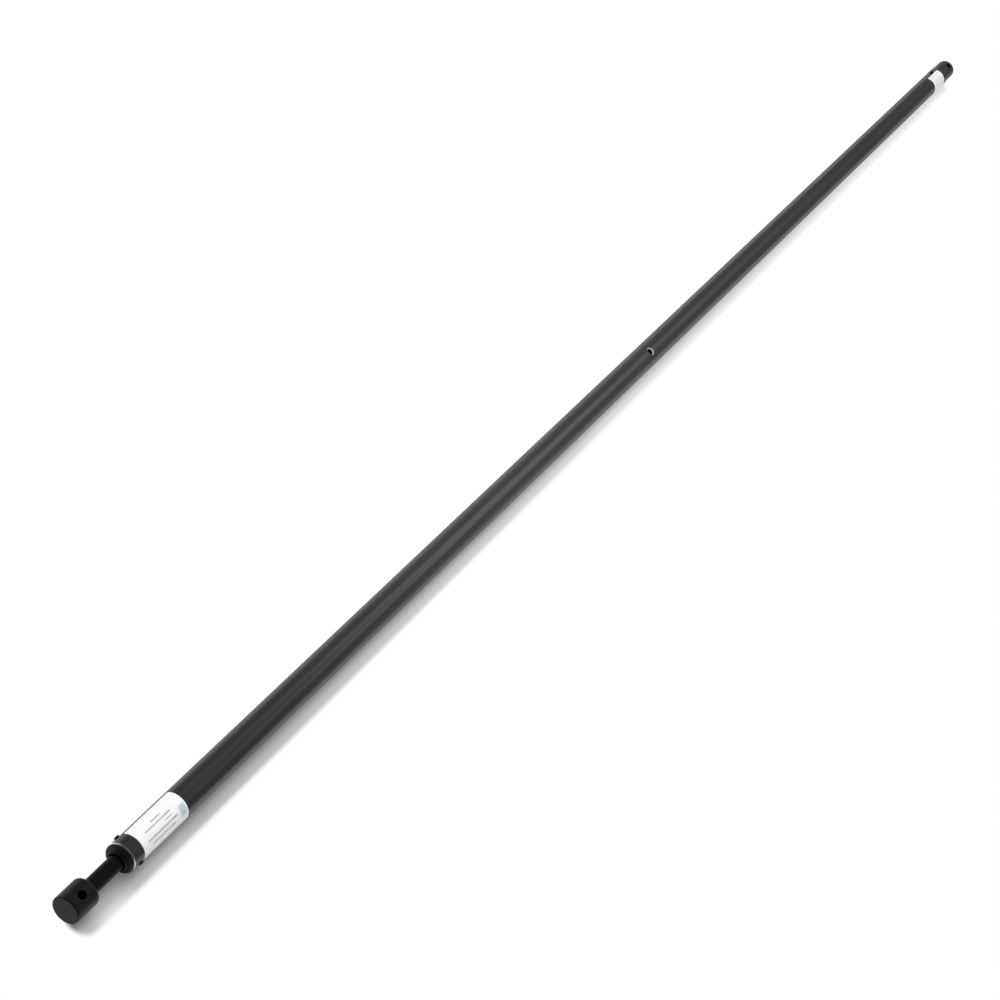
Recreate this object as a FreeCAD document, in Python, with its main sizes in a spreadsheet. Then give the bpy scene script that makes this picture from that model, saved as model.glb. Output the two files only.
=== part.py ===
import FreeCAD, Part
import Sketcher
import os

# Tiller crossbar of a small catamaran: a drawn tube that ties two tiller arms together.
#
# X runs along the bar. The adjustable end is at low X and the fixed end at high X.
# Z is up, along the upright holes for the two tiller pins and the steering extension's bolt.
# The origin is on the tube's axis, in the middle of that bolt's hole, near the middle of the bar.
# "Left" is +Y, as seen by someone at the adjustable end who looks along the bar.

# Every size in millimetres or degrees that can be set by itself.
SIZES = [
    # drawn tube
    ("tube_length", 2075.0, "cut length of the tube"),
    ("hole_to_adjustable_end", 1021.0, "extension's bolt hole to the tube's adjustable end"),
    ("tube_diameter", 28.6, "outside of the tube, one and one eighth inches"),
    ("tube_wall", 2.0, "wall of the tube"),
    ("tube_end_chamfer", 1.5, "bare bevel on both cut ends"),
    ("extension_hole", 8.7, "bolt hole for the steering extension"),
    ("extension_hole_bevel", 1.0, "deburred edge of that hole"),
    # threaded bush in the adjustable end
    ("fit_gap", 0.1, "bush and plug to the tube's bore, each side"),
    ("flange_thickness", 4.0, "flange of the bush"),
    ("flange_proud", 0.2, "flange beyond the tube's surface, each side"),
    ("flange_front_bevel", 1.5, "front rim of the flange"),
    ("flange_back_bevel", 0.8, "back rim of the flange"),
    ("boss_diameter", 19.6, "raised boss round the mouth"),
    ("boss_height", 2.2, "boss in front of the flange"),
    ("boss_bevel", 0.6, "rim of the boss"),
    ("bush_depth", 60.0, "bush inside the tube"),
    # end fitting that screws in and out of the bush
    ("head_diameter", 27.4, "round heads at both ends of the bar"),
    ("head_length", 29.2, "adjuster's head"),
    ("head_bevel", 0.6, "bevel round the adjuster's front face"),
    ("head_shoulder", 3.3, "rounded back of the adjuster's head"),
    ("pin_hole", 8.0, "cross hole for a five sixteenths inch pin"),
    ("pin_hole_bevel", 0.3, "broken edge of the pin holes"),
    ("head_hole_setback", 13.5, "pin hole from the adjuster's front face"),
    ("neck_diameter", 15.0, "plain neck behind the head"),
    ("neck_exposed", 41.8, "neck between head and flange as photographed"),
    ("thread_diameter", 17.0, "crest of the coarse thread"),
    ("thread_bevel", 1.0, "end of the thread"),
    ("thread_gap", 0.08, "thread to its bush, each side"),
    ("thread_setback", 14.0, "thread starts this far inside the tube"),
    ("travel_out", 12.0, "how far the adjuster can still come out"),
    # stop on the inner end of the adjuster
    ("stop_gap", 0.3, "left between stop and bush at the end of travel"),
    ("washer_gap", 1.3, "stop washer to the tube's bore, each side"),
    ("washer_thickness", 1.5, "stop washer"),
    ("washer_play", 0.2, "washer to its shoulder and to what lies beside it"),
    ("shoulder_diameter", 7.0, "shoulder of the stop screw"),
    ("stop_shank_diameter", 5.0, "shank of the stop screw"),
    ("stop_shank_length", 12.0, "shank of the stop screw inside the adjuster"),
    ("stop_head_diameter", 10.0, "head of the stop screw"),
    ("stop_head_height", 3.0, "head of the stop screw"),
    # plug in the fixed end
    ("fixed_head_length", 31.0, "head of the plug"),
    ("plug_depth", 50.0, "plug inside the tube"),
    ("plug_core_diameter", 15.0, "cored hollow in the plug"),
    ("plug_core_depth", 44.0, "cored hollow in the plug"),
    ("plug_hole_setback", 11.0, "pin hole from the tip of the fixed end"),
    ("plug_tip_bevel", 1.0, "rim of the fixed end's tip"),
    # self-tapping screws that hold bush and plug
    ("screw_shank_diameter", 3.5, "self-tapping screw"),
    ("screw_fit", 0.05, "screws in their holes, each side"),
    ("screw_cover", 0.8, "material left beyond each screw's tip"),
    ("screw_head_diameter", 5.5, "pan head where it seats"),
    ("screw_head_height", 1.8, "pan head"),
    ("screw_head_draft", 0.6, "how far the heads taper in towards the top, each side"),
    ("recess_width", 0.8, "cross recess"),
    ("recess_length", 2.8, "cross recess"),
    ("recess_depth", 0.9, "cross recess"),
    ("adjuster_screw_setback", 11.0, "screws from the tube's adjustable end"),
    ("fixed_screw_setback", 28.0, "screws from the tube's fixed end"),
    ("fixed_screw_turn", 40.0, "fixed end's screws, turned from the horizontal, degrees"),
    # wrapped labels
    ("label_gap", 0.02, "adhesive under the labels"),
    ("label_thickness", 0.15, "labels"),
    ("label_corner", 1.5, "rounded corners of the labels"),
    ("adjuster_label_setback", 14.4, "label from the tube's adjustable end"),
    ("adjuster_label_length", 63.0, "label along the bar"),
    ("adjuster_label_wrap", 180.0, "label round the bar, degrees"),
    ("adjuster_label_turn", 25.0, "middle of the label from the top, degrees"),
    ("fixed_label_setback", 16.0, "label from the tube's fixed end"),
    ("fixed_label_length", 41.2, "label along the bar"),
    ("fixed_label_wrap", 142.0, "label round the bar, degrees"),
    ("fixed_label_turn", 37.0, "middle of the label from the top, degrees"),
]

doc = FreeCAD.newDocument("tiller_crossbar")
sheet = doc.addObject("Spreadsheet::Sheet", "Dims")
for row, (alias, value, note) in enumerate(SIZES, start=1):
    sheet.set("A%d" % row, alias)
    sheet.set("B%d" % row, str(value))
    sheet.set("C%d" % row, note)
    sheet.setAlias("B%d" % row, alias)
doc.recompute()

# Sizes that follow from those in the sheet, written once and used by every piece that shares them.
TUBE_RADIUS = "Dims.tube_diameter / 2"
TUBE_BORE_RADIUS = "(Dims.tube_diameter / 2 - Dims.tube_wall)"
SPIGOT_RADIUS = "(Dims.tube_diameter / 2 - Dims.tube_wall - Dims.fit_gap)"
HEAD_RADIUS = "Dims.head_diameter / 2"
NECK_RADIUS = "Dims.neck_diameter / 2"
THREAD_RADIUS = "Dims.thread_diameter / 2"
WASHER_RADIUS = "(Dims.tube_diameter / 2 - Dims.tube_wall - Dims.washer_gap)"
BUSH_BORE_RADIUS = "(Dims.thread_diameter / 2 + Dims.thread_gap)"
FLANGE_FRONT = "(Dims.boss_height + Dims.flange_thickness)"
THREAD_START = "(Dims.head_length + Dims.neck_exposed + Dims.flange_thickness + Dims.thread_setback)"
THREAD_LENGTH = "(Dims.bush_depth - Dims.thread_setback + Dims.travel_out + Dims.stop_gap)"
SHOULDER_LENGTH = "(Dims.washer_thickness + 2 * Dims.washer_play)"
NEAR_END = "-Dims.hole_to_adjustable_end"
FAR_END = "(Dims.tube_length - Dims.hole_to_adjustable_end)"
FLANGE_RADIUS = "(Dims.tube_diameter / 2 + Dims.flange_proud)"


def new_body(name):
    """An empty body whose label names the piece."""
    body = doc.addObject("PartDesign::Body", name)
    body.Label = name
    return body


def new_sketch(body, name, role):
    """A sketch on one of the body's own origin planes."""
    sketch = body.newObject("Sketcher::SketchObject", body.Name + "_" + name)
    planes = [item for item in body.Origin.OriginFeatures if item.Role == role]
    sketch.AttachmentSupport = [(planes[0], "")]
    sketch.MapMode = "FlatFace"
    return sketch


def drive(sketch, kind, first, size):
    """Add a constraint that takes its value from the sheet."""
    number = sketch.addConstraint(Sketcher.Constraint(kind, *first, 1.0))
    name = "%s%d" % (kind.lower(), number)
    sketch.renameConstraint(number, name)
    sketch.setExpression("Constraints." + name, size)


def fix_point(sketch, line, end, across, up):
    """Hold the end of a line at a distance from the sketch's origin. "0" puts it on an axis."""
    if across == "0":
        sketch.addConstraint(Sketcher.Constraint("PointOnObject", line, end, -2))
    else:
        drive(sketch, "DistanceX", (-1, 1, line, end), across)
    if up == "0":
        sketch.addConstraint(Sketcher.Constraint("PointOnObject", line, end, -1))
    else:
        drive(sketch, "DistanceY", (-1, 1, line, end), up)


def turned(body, corners, along_y=False, wrap=None):
    """Revolve an outline of named corners (distance along the axis, radius).

    The axis is X, or Y with along_y. A wrap turns the outline through an angle, half of it to
    each side of the top. Returns the feature and where each named corner came to lie.
    """
    sketch = new_sketch(body, "outline", "XY_Plane" if along_y else "XZ_Plane")
    count = len(corners)
    for i in range(count):
        start = FreeCAD.Vector(5 * i, 3 + i, 0)
        end = FreeCAD.Vector(5 * ((i + 1) % count), 3 + (i + 1) % count, 0)
        sketch.addGeometry(Part.LineSegment(start, end), False)
    for i in range(count):
        sketch.addConstraint(Sketcher.Constraint("Coincident", i, 2, (i + 1) % count, 1))
    for i, (name, along, radius) in enumerate(corners):
        if along_y:
            fix_point(sketch, i, 1, radius, along)
        else:
            fix_point(sketch, i, 1, along, radius)
    doc.recompute()

    feature = body.newObject("PartDesign::Revolution", body.Name + "_turned")
    feature.Profile = sketch
    feature.ReferenceAxis = (sketch, ["V_Axis" if along_y else "H_Axis"])
    if wrap is None:
        feature.Angle = 360
    else:
        feature.Midplane = True
        feature.setExpression("Angle", wrap)
    doc.recompute()

    places = {}
    for (name, along, radius), line in zip(corners, sketch.Geometry):
        point = line.StartPoint
        places[name] = (point.y, point.x) if along_y else (point.x, point.y)
    return feature, places


def edges_where(feature, test):
    """Names of the feature's edges that pass a test."""
    shape = feature.Shape
    names = ["Edge%d" % (i + 1) for i, edge in enumerate(shape.Edges) if test(edge)]
    if not names:
        raise RuntimeError("no edge found on " + feature.Name)
    return names


def is_rim(edge, place, along_y=False):
    """Whether an edge is the full circle that a corner of the outline swept."""
    curve = edge.Curve
    if not isinstance(curve, Part.Circle):
        return False
    centre = curve.Center.y if along_y else curve.Center.x
    return abs(centre - place[0]) < 1e-4 and abs(curve.Radius - place[1]) < 1e-4


def dress(body, feature, kind, names, size):
    """Fillet or chamfer named edges, with the size from the sheet."""
    dressed = body.newObject("PartDesign::" + kind, body.Name + "_" + kind.lower())
    dressed.Base = (feature, names)
    dressed.setExpression("Radius" if kind == "Fillet" else "Size", size)
    doc.recompute()
    if "Invalid" in dressed.State or dressed.Shape.isNull():
        raise RuntimeError(dressed.Name + " failed")
    return dressed


def rim(body, feature, place, kind, size, along_y=False):
    """Fillet or chamfer the rim that one corner of the outline swept."""
    names = edges_where(feature, lambda edge: is_rim(edge, place, along_y))
    return dress(body, feature, kind, names, size)


def check_cut(before, feature):
    """A cut that points away from the solid leaves the volume as it was, which is an error."""
    if before - feature.Shape.Volume < 0.01:
        raise RuntimeError(feature.Name + " cuts nothing")


def cross_hole(body, name, role, along, diameter, turn="0"):
    """Drill right through the bar's axis, square to the given origin plane, then turned about X."""
    before = body.Tip.Shape.Volume
    sketch = new_sketch(body, name, role)
    sketch.setExpression(
        "AttachmentOffset", "placement(vector(0; 0; 0); rotation(vector(1; 0; 0); %s))" % turn)
    circle = Part.Circle(FreeCAD.Vector(5, 0, 0), FreeCAD.Vector(0, 0, 1), 2)
    sketch.addGeometry(circle, False)
    drive(sketch, "Diameter", (0,), diameter)
    fix_point(sketch, 0, 3, along, "0")
    pocket = body.newObject("PartDesign::Pocket", body.Name + "_" + name)
    pocket.Profile = sketch
    pocket.Type = "ThroughAll"
    pocket.Midplane = True
    doc.recompute()
    check_cut(before, pocket)
    return pocket


def break_mouths(body, feature, radius, hole_diameter, size):
    """Bevel both mouths of an upright hole, where it leaves the outside of a round piece."""
    def at_mouth(edge):
        box = edge.BoundBox
        if abs(box.YLength - hole_diameter) > 0.01 or abs(box.XLength - hole_diameter) > 0.01:
            return False
        point = edge.valueAt(edge.FirstParameter)
        return abs((point.y ** 2 + point.z ** 2) ** 0.5 - radius) < 0.01
    return dress(body, feature, "Chamfer", edges_where(feature, at_mouth), size)


def size_of(alias):
    """The number that the sheet holds under an alias."""
    return float(sheet.get(alias))


def put(body, along, turn="0", flip="0", yaw="0"):
    """Place a piece along X. It is yawed about Z, flipped over about X, then turned about X."""
    body.setExpression(
        "Placement",
        "placement(vector(%s; 0; 0); rotation(vector(1; 0; 0); %s) * rotation(vector(1; 0; 0); %s)"
        " * rotation(vector(0; 0; 1); %s))" % (along, turn, flip, yaw))


def drawn_tube():
    """Tube with bevelled ends, the extension's bolt hole, and the holes for four screws."""
    body = new_body("crossbar_tube")
    feature, places = turned(body, [
        ("near_bore", "0", TUBE_BORE_RADIUS),
        ("near_rim", "0", TUBE_RADIUS),
        ("far_rim", "Dims.tube_length", TUBE_RADIUS),
        ("far_bore", "Dims.tube_length", TUBE_BORE_RADIUS),
    ])
    names = edges_where(
        feature, lambda edge: is_rim(edge, places["near_rim"]) or is_rim(edge, places["far_rim"]))
    dress(body, feature, "Chamfer", names, "Dims.tube_end_chamfer")
    hole = cross_hole(
        body, "extension_hole", "XY_Plane", "Dims.hole_to_adjustable_end", "Dims.extension_hole")
    break_mouths(
        body, hole, size_of("tube_diameter") / 2, size_of("extension_hole"),
        "Dims.extension_hole_bevel")
    screw_hole = "Dims.screw_shank_diameter + 2 * Dims.screw_fit"
    cross_hole(
        body, "adjuster_screw_holes", "XZ_Plane", "Dims.adjuster_screw_setback", screw_hole)
    cross_hole(
        body, "fixed_screw_holes", "XZ_Plane", "Dims.tube_length - Dims.fixed_screw_setback",
        screw_hole, turn="Dims.fixed_screw_turn")
    put(body, NEAR_END)
    return body


def adjuster_bush():
    """Moulded bush: boss and flange outside the tube, long threaded spigot inside it."""
    body = new_body("adjuster_bush")
    feature, places = turned(body, [
        ("mouth", "0", BUSH_BORE_RADIUS),
        ("boss_rim", "0", "Dims.boss_diameter / 2"),
        ("boss_root", "Dims.boss_height", "Dims.boss_diameter / 2"),
        ("flange_front", "Dims.boss_height", FLANGE_RADIUS),
        ("flange_back", FLANGE_FRONT, FLANGE_RADIUS),
        ("spigot_root", FLANGE_FRONT, SPIGOT_RADIUS),
        ("spigot_end", FLANGE_FRONT + " + Dims.bush_depth", SPIGOT_RADIUS),
        ("bore_end", FLANGE_FRONT + " + Dims.bush_depth", BUSH_BORE_RADIUS),
    ])
    feature = rim(body, feature, places["boss_rim"], "Chamfer", "Dims.boss_bevel")
    feature = rim(body, feature, places["flange_front"], "Chamfer", "Dims.flange_front_bevel")
    rim(body, feature, places["flange_back"], "Chamfer", "Dims.flange_back_bevel")
    cross_hole(
        body, "screw_holes", "XZ_Plane", FLANGE_FRONT + " + Dims.adjuster_screw_setback",
        "Dims.screw_shank_diameter + 2 * Dims.screw_fit")
    put(body, "%s - %s" % (NEAR_END, FLANGE_FRONT))
    return body


def adjuster_stem():
    """End fitting in one piece: drilled head, plain neck, and thread with a bore for the stop."""
    body = new_body("adjuster_stem")
    stem_end = THREAD_START + " + " + THREAD_LENGTH
    bore = "Dims.stop_shank_diameter / 2 + Dims.screw_fit"
    bore_floor = stem_end + " - Dims.stop_shank_length - 2 * Dims.stop_gap"
    feature, places = turned(body, [
        ("face_centre", "0", "0"),
        ("face_rim", "0", HEAD_RADIUS),
        ("head_back", "Dims.head_length", HEAD_RADIUS),
        ("neck_root", "Dims.head_length", NECK_RADIUS),
        ("neck_end", THREAD_START, NECK_RADIUS),
        ("thread_start", THREAD_START + " + " + THREAD_RADIUS + " - " + NECK_RADIUS, THREAD_RADIUS),
        ("thread_end", stem_end, THREAD_RADIUS),
        ("bore_mouth", stem_end, bore),
        ("bore_floor", bore_floor, bore),
        ("bore_centre", bore_floor, "0"),
    ])
    feature = rim(body, feature, places["face_rim"], "Chamfer", "Dims.head_bevel")
    feature = rim(body, feature, places["head_back"], "Fillet", "Dims.head_shoulder")
    rim(body, feature, places["thread_end"], "Chamfer", "Dims.thread_bevel")
    hole = cross_hole(body, "pin_hole", "XY_Plane", "Dims.head_hole_setback", "Dims.pin_hole")
    break_mouths(
        body, hole, size_of("head_diameter") / 2, size_of("pin_hole"), "Dims.pin_hole_bevel")
    put(body, NEAR_END + " - Dims.flange_thickness - Dims.neck_exposed - Dims.head_length")
    return body


def stop_washer():
    """Loose washer on the stop screw's shoulder, which meets the bush when the adjuster is out."""
    body = new_body("stop_washer")
    bore = "Dims.shoulder_diameter / 2 + Dims.washer_play"
    turned(body, [
        ("front_bore", "0", bore),
        ("front_rim", "0", WASHER_RADIUS),
        ("back_rim", "Dims.washer_thickness", WASHER_RADIUS),
        ("back_bore", "Dims.washer_thickness", bore),
    ])
    put(body, NEAR_END + " + Dims.bush_depth + Dims.travel_out + Dims.stop_gap + Dims.washer_play")
    return body


def cut_recess(body, head_top):
    """Cross recess in the head of a screw that lies along Y: one slot, repeated a quarter turn on."""
    before = body.Tip.Shape.Volume
    sketch = new_sketch(body, "recess", "XZ_Plane")
    sketch.setExpression(
        "AttachmentOffset",
        "placement(vector(0; 0; -(%s)); rotation(vector(0; 0; 1); 0))" % head_top)
    corners = [(-1, -1), (1, -1), (1, 1), (-1, 1)]
    for i, (across, up) in enumerate(corners):
        after = corners[(i + 1) % 4]
        start = FreeCAD.Vector(2 * across, up, 0)
        end = FreeCAD.Vector(2 * after[0], after[1], 0)
        sketch.addGeometry(Part.LineSegment(start, end), False)
    for i in range(4):
        sketch.addConstraint(Sketcher.Constraint("Coincident", i, 2, (i + 1) % 4, 1))
    for i, (across, up) in enumerate(corners):
        drive(sketch, "DistanceX", (-1, 1, i, 1), "%d * Dims.recess_length / 2" % across)
        drive(sketch, "DistanceY", (-1, 1, i, 1), "%d * Dims.recess_width / 2" % up)
    slot = body.newObject("PartDesign::Pocket", body.Name + "_slot")
    slot.Profile = sketch
    slot.setExpression("Length", "Dims.recess_depth")
    slot.Reversed = True
    doc.recompute()
    check_cut(before, slot)
    pattern = body.newObject("PartDesign::PolarPattern", body.Name + "_cross")
    pattern.Originals = [slot]
    pattern.Axis = (sketch, ["N_Axis"])
    pattern.Angle = 90
    pattern.Occurrences = 2
    body.Tip = pattern
    doc.recompute()
    check_cut(slot.Shape.Volume, pattern)


def tapping_screw(name, along, bore_radius, turn, flip):
    """Pan-head screw that lies along Y, its distances measured from the bar's axis."""
    body = new_body(name)
    tip = bore_radius + " + Dims.screw_cover"
    shank = "Dims.screw_shank_diameter / 2"
    head_top = TUBE_RADIUS + " + Dims.screw_head_height"
    turned(body, [
        ("tip", tip, "0"),
        ("tip_rim", tip, shank),
        ("shank_root", TUBE_RADIUS, shank),
        ("head_seat", TUBE_RADIUS, "Dims.screw_head_diameter / 2"),
        ("head_rim", head_top, "Dims.screw_head_diameter / 2 - Dims.screw_head_draft"),
        ("head_top", head_top, "0"),
    ], along_y=True)
    cut_recess(body, head_top)
    put(body, along, turn=turn, flip=flip)
    return body


def stop_screw():
    """Shoulder screw in the adjuster's inner end, drawn along Y and laid along X."""
    body = new_body("stop_screw")
    shank = "Dims.stop_shank_diameter / 2"
    shoulder_start = "Dims.stop_shank_length"
    head_start = shoulder_start + " + " + SHOULDER_LENGTH
    head_top = head_start + " + Dims.stop_head_height"
    turned(body, [
        ("tip", "0", "0"),
        ("tip_rim", "0", shank),
        ("shank_root", shoulder_start, shank),
        ("shoulder_seat", shoulder_start, "Dims.shoulder_diameter / 2"),
        ("shoulder_root", head_start, "Dims.shoulder_diameter / 2"),
        ("head_seat", head_start, "Dims.stop_head_diameter / 2"),
        ("head_rim", head_top, "Dims.stop_head_diameter / 2 - Dims.screw_head_draft"),
        ("head_top", head_top, "0"),
    ], along_y=True)
    cut_recess(body, head_top)
    put(body, NEAR_END + " + Dims.bush_depth + Dims.travel_out + Dims.stop_gap"
        " - Dims.stop_shank_length", yaw="-90")
    return body


def fixed_end_plug():
    """Moulded plug: drilled head that butts on the tube, cored spigot inside it."""
    body = new_body("fixed_end_plug")
    core = "Dims.plug_core_diameter / 2"
    tip = "Dims.plug_depth + Dims.fixed_head_length"
    feature, places = turned(body, [
        ("core_mouth", "0", core),
        ("spigot_end", "0", SPIGOT_RADIUS),
        ("spigot_root", "Dims.plug_depth", SPIGOT_RADIUS),
        ("head_back", "Dims.plug_depth", HEAD_RADIUS),
        ("tip_rim", tip, HEAD_RADIUS),
        ("tip_centre", tip, "0"),
        ("core_centre", "Dims.plug_core_depth", "0"),
        ("core_rim", "Dims.plug_core_depth", core),
    ])
    rim(body, feature, places["tip_rim"], "Chamfer", "Dims.plug_tip_bevel")
    cross_hole(
        body, "screw_holes", "XZ_Plane", "Dims.plug_depth - Dims.fixed_screw_setback",
        "Dims.screw_shank_diameter + 2 * Dims.screw_fit", turn="Dims.fixed_screw_turn")
    hole = cross_hole(body, "pin_hole", "XY_Plane", tip + " - Dims.plug_hole_setback", "Dims.pin_hole")
    break_mouths(
        body, hole, size_of("head_diameter") / 2, size_of("pin_hole"), "Dims.pin_hole_bevel")
    put(body, FAR_END + " - Dims.plug_depth")
    return body


def wrapped_label(name, prefix, along):
    """Thin label wrapped part of the way round the tube, with rounded corners."""
    body = new_body(name)
    inner = TUBE_RADIUS + " + Dims.label_gap"
    outer = inner + " + Dims.label_thickness"
    length = "Dims.%s_label_length" % prefix
    feature, _ = turned(body, [
        ("start_under", "0", inner),
        ("start_top", "0", outer),
        ("end_top", length, outer),
        ("end_under", length, inner),
    ], wrap="Dims.%s_label_wrap" % prefix)
    names = edges_where(feature, lambda edge: (
        isinstance(edge.Curve, Part.Line) and edge.BoundBox.XLength < 1e-4))
    dress(body, feature, "Fillet", names, "Dims.label_corner")
    put(body, along, turn="Dims.%s_label_turn" % prefix)
    return body


NEAR_SCREWS = NEAR_END + " + Dims.adjuster_screw_setback"
FAR_SCREWS = FAR_END + " - Dims.fixed_screw_setback"
CORE_RADIUS = "Dims.plug_core_diameter / 2"

bodies = [
    drawn_tube(),
    adjuster_bush(),
    adjuster_stem(),
    stop_washer(),
    stop_screw(),
    fixed_end_plug(),
    tapping_screw("adjuster_end_screw_left", NEAR_SCREWS, BUSH_BORE_RADIUS, "0", "0"),
    tapping_screw("adjuster_end_screw_right", NEAR_SCREWS, BUSH_BORE_RADIUS, "0", "180"),
    tapping_screw("fixed_end_screw_left", FAR_SCREWS, CORE_RADIUS, "Dims.fixed_screw_turn", "0"),
    tapping_screw("fixed_end_screw_right", FAR_SCREWS, CORE_RADIUS, "Dims.fixed_screw_turn", "180"),
    wrapped_label("adjuster_end_label", "adjuster", NEAR_END + " + Dims.adjuster_label_setback"),
    wrapped_label(
        "fixed_end_label", "fixed",
        FAR_END + " - Dims.fixed_label_setback - Dims.fixed_label_length"),
]
doc.recompute()

# Nothing is written unless every object of the document came out sound.
for item in doc.Objects:
    if "Invalid" in item.State or "Error" in item.State:
        raise RuntimeError("%s is in state %s" % (item.Name, item.State))
for body in bodies:
    if body.Shape.isNull() or not body.Shape.isValid():
        raise RuntimeError(body.Name + " has no valid shape")
    if len(body.Shape.Solids) != 1:
        raise RuntimeError("%s has %d solids" % (body.Name, len(body.Shape.Solids)))

os.makedirs("parts", exist_ok=True)
for body in bodies:
    body.Shape.exportStep("parts/%s.step" % body.Label)
    box = body.Shape.BoundBox
    print("%-26s %9.1f mm3  x %8.1f to %8.1f  y %6.2f to %6.2f  z %6.2f to %6.2f" % (
        body.Label, body.Shape.Volume, box.XMin, box.XMax, box.YMin, box.YMax, box.ZMin, box.ZMax))
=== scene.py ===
import math

import bmesh
import bpy
from bpy.props import FloatProperty, FloatVectorProperty, IntProperty, PointerProperty
from mathutils import Matrix, Vector


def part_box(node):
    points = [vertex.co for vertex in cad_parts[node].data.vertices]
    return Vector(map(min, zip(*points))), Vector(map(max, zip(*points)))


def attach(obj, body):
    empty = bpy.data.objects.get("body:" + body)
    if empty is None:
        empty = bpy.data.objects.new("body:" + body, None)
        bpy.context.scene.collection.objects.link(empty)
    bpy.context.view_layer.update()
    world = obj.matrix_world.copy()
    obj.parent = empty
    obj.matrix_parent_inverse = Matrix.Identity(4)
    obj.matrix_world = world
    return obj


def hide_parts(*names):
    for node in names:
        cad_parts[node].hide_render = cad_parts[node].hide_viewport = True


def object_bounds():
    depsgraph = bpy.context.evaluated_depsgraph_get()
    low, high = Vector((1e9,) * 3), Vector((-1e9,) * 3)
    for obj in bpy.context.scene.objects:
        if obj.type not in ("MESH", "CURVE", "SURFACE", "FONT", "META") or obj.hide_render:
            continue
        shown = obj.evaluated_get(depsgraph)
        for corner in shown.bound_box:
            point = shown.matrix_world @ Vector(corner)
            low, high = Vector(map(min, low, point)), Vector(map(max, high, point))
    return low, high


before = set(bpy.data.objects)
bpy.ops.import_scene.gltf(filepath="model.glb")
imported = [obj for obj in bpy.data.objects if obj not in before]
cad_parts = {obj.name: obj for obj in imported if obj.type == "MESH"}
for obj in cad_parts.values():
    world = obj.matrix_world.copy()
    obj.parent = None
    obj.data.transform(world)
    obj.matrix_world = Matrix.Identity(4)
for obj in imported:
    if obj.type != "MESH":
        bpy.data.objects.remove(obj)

bl_info = {
    "name": "Tiller Crossbar",
    "version": (1, 0, 0),
    "blender": (4, 5, 0),
    "location": "3D View > Sidebar > Crossbar",
    "description": "Builds a small catamaran's tiller crossbar around its CAD frame",
    "category": "Add Mesh",
}

MM = 0.001
CAD_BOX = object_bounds()

# Where the frame puts the pieces. The bar's axis is X, and its adjustable end is at low X.
TUBE_LOW, TUBE_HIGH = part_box("crossbar_tube")
BUSH_LOW, BUSH_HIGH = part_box("adjuster_bush")
STEM_LOW, STEM_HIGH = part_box("adjuster_stem")
WASHER_LOW, WASHER_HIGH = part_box("stop_washer")
STOP_LOW, STOP_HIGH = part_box("stop_screw")
PLUG_LOW, PLUG_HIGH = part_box("fixed_end_plug")
TUBE_RADIUS = 14.3 * MM
HEAD_RADIUS = 13.7 * MM
SPIGOT_RADIUS = 12.2 * MM
QUARTER_TURN = math.radians(90)

# How finely the round pieces and the threads are divided.
MOULDED_SEGMENTS = 120
SCREW_SEGMENTS = 48
WASHER_SEGMENTS = 96
THREAD_STEP = 0.4 * MM
SCREW_THREAD_STEP = 0.12 * MM

# Shading: faces this close to a true cylinder or end face are shaded as part of it.
SAME_PLACE = 0.002 * MM
FLAT_ANGLE = math.radians(2.5)
ROUND_ANGLE = math.radians(16)
SHARP_ANGLE = math.radians(28)

# The self-tapping and the stop screws' thread: its root as a share of its crest, and its pitch.
SCREW_ROOT = 0.78
SCREW_PITCH = 1.25 * MM

WHITE = (1, 1, 1, 1)


def length(name, description, default):
    """A property that holds a length."""
    return FloatProperty(
        name=name, description=description, default=default, min=0, unit="LENGTH", precision=5)


def colour(name, description, default):
    """A property that holds a colour."""
    return FloatVectorProperty(
        name=name, description=description, default=default, size=3, min=0, max=1,
        subtype="COLOR")


class TubeSettings(bpy.types.PropertyGroup):
    """Sizes and finish of the drawn tube."""
    wall: length("Wall", "Wall of the tube", 2 * MM)
    end_bevel: length("End bevel", "Bare bevel on both cut ends", 1.5 * MM)
    bolt_hole: length("Bolt hole", "Hole for the steering extension's bolt", 8.7 * MM)
    bolt_hole_bevel: length("Bolt hole bevel", "Deburred edge of that hole", 0.5 * MM)
    segments: IntProperty(
        name="Segments", description="Faces round the tube", default=192, min=48, max=512)
    anodising: colour("Anodising", "Satin black surface", (0.020, 0.021, 0.021))
    bare_metal: colour("Bare metal", "Cut ends, holes and bore", (0.80, 0.80, 0.79))


class EndSettings(bpy.types.PropertyGroup):
    """Sizes and finish of the moulded ends."""
    boss_diameter: length("Boss", "Raised boss round the bush's mouth", 19.6 * MM)
    boss_height: length("Boss height", "Boss in front of the flange", 2.2 * MM)
    flange_round: length("Flange round", "Front rim of the flange", 2.9 * MM)
    boss_round: length("Boss round", "Rim and foot of the boss", 0.75 * MM)
    head_length: length("Head length", "Head of the adjuster", 29.2 * MM)
    head_round: length("Head round", "Rounded edge of the adjuster's face", 1.3 * MM)
    head_shoulder: length("Head shoulder", "Rounded back of the adjuster's head", 3.3 * MM)
    pin_hole: length("Pin hole", "Cross holes for the tiller pins", 8 * MM)
    pin_hole_bevel: length("Pin hole bevel", "Broken edge of the pin holes", 0.3 * MM)
    near_hole: length("Near hole", "Pin hole from the adjuster's face", 13.5 * MM)
    far_hole: length("Far hole", "Pin hole from the fixed end's tip", 11 * MM)
    neck_diameter: length("Neck", "Plain neck of the adjuster", 15 * MM)
    thread_diameter: length("Thread", "Crest of the coarse thread", 17 * MM)
    thread_depth: length("Thread depth", "Crest to root of the coarse thread", 0.9 * MM)
    thread_pitch: length("Thread pitch", "Travel in one turn", 4 * MM)
    nylon: colour("Nylon", "Moulded ends", (0.0035, 0.0040, 0.0040))


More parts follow.
